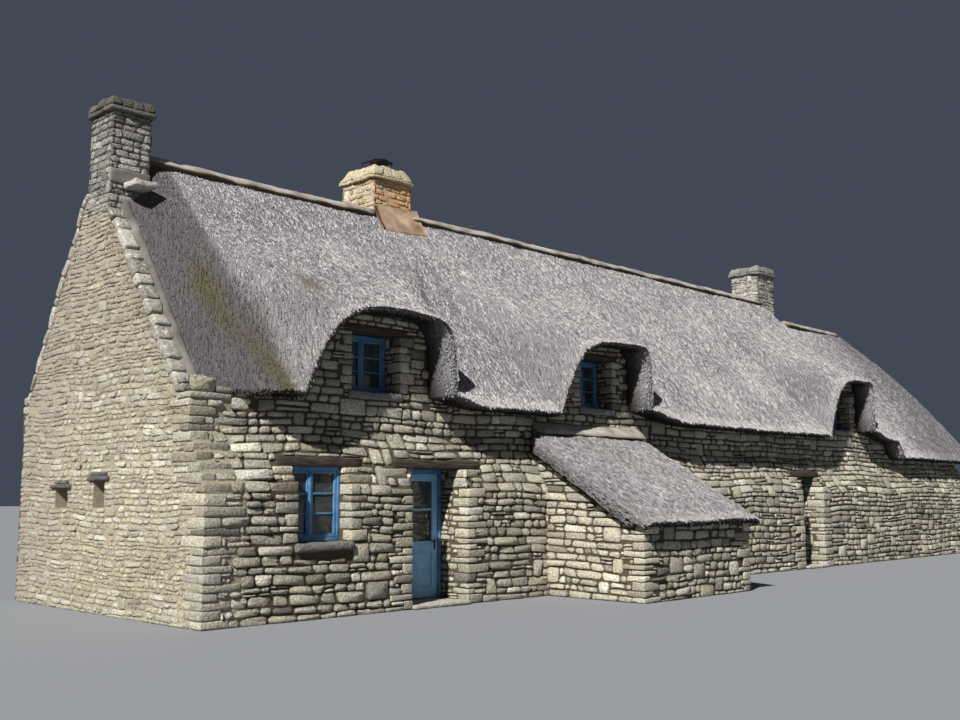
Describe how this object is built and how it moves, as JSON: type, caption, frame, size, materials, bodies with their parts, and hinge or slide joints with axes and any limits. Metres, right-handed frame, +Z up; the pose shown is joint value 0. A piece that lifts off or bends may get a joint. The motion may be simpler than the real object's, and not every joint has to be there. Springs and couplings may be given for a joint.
{
  "type": "thatched cottage",
  "caption": "Long low stone cottage with a thatched roof, arched dormers, a stone gable with coping, chimneys and a thatched lean-to.",
  "frame": {"origin": "underside of the ground floor at ground level, halfway along the house and under the ridge", "axes": "+X along the house from the stone gable to the hipped end, -Y out of the front, +Z up"},
  "size_m": [24.225, 7.43, 7.493],
  "materials": {
    "thatch": "weathered reed, cut and combed, grey",
    "mortar": "lime mortar, trowelled",
    "rubble_stone": "split field stone in mud and lime mortar",
    "pale_stone": "dressed granite and schist, weathered",
    "flagstone": "worn flagstones",
    "floorboards": "sawn boards, unfinished",
    "weathered_oak": "hewn oak, dark with age",
    "blue_paint": "brushed oil paint on joinery",
    "sheet_metal": "blackened folded sheet"
  },
  "bodies": {
    "root": {"thatch_front": "thatch", "thatch_rear": "thatch", "thatch_hip": "thatch", "leanto_thatch": "thatch", "ridge_cap_west": "mortar", "ridge_cap_middle": "mortar", "ridge_cap_east": "mortar", "chimney_middle_apron": "mortar", "leanto_cap": "mortar", "gable_wall_west": "rubble_stone", "front_wall_west": "rubble_stone", "front_wall_middle": "rubble_stone", "front_wall_east": "rubble_stone", "front_wall_upper_west": "rubble_stone", "front_wall_upper_middle": "rubble_stone", "front_wall_upper_east": "rubble_stone", "rear_wall": "rubble_stone", "east_wall": "rubble_stone", "chimney_west_stack": "rubble_stone", "chimney_middle_stack": "rubble_stone", "chimney_east_stack": "rubble_stone", "leanto_front_wall": "rubble_stone", "leanto_west_wall": "rubble_stone", "leanto_east_wall": "rubble_stone", "gable_coping_front": "pale_stone", "gable_coping_rear": "pale_stone", "sill_window_ground": "pale_stone", "sill_dormer_west": "pale_stone", "sill_dormer_middle": "pale_stone", "sill_dormer_east": "pale_stone", "chimney_west_cap": "pale_stone", "chimney_middle_cap": "pale_stone", "chimney_east_cap": "pale_stone", "chimney_west_drip_slab": "pale_stone", "door_west_threshold": "pale_stone", "door_east_threshold": "pale_stone", "ground_floor": "flagstone", "loft_floor": "floorboards", "lintel_window_ground": "weathered_oak", "lintel_door_west": "weathered_oak", "lintel_door_east": "weathered_oak", "lintel_dormer_west": "weathered_oak", "lintel_dormer_middle": "weathered_oak", "lintel_dormer_east": "weathered_oak", "window_ground": "blue_paint", "window_dormer_west": "blue_paint", "window_dormer_middle": "blue_paint", "window_dormer_east": "blue_paint", "window_rear_1": "blue_paint", "window_rear_2": "blue_paint", "window_rear_3": "blue_paint", "door_west_frame": "blue_paint", "door_east_frame": "blue_paint", "chimney_middle_cowl": "sheet_metal"},
    "west_door": {"door_west_leaf": "blue_paint"},
    "east_door": {"door_east_leaf": "blue_paint"}
  },
  "joints": [
    {"name": "west_door_hinge", "type": "hinge", "parent": "root", "child": "west_door", "pos_m": [-8.552, -2.277, 1], "axis": [0, 0, 1], "range_deg": [0, 85]},
    {"name": "east_door_hinge", "type": "hinge", "parent": "root", "child": "east_door", "pos_m": [2.568, -2.277, 1], "axis": [0, 0, 1], "range_deg": [0, 85]}
  ]
}
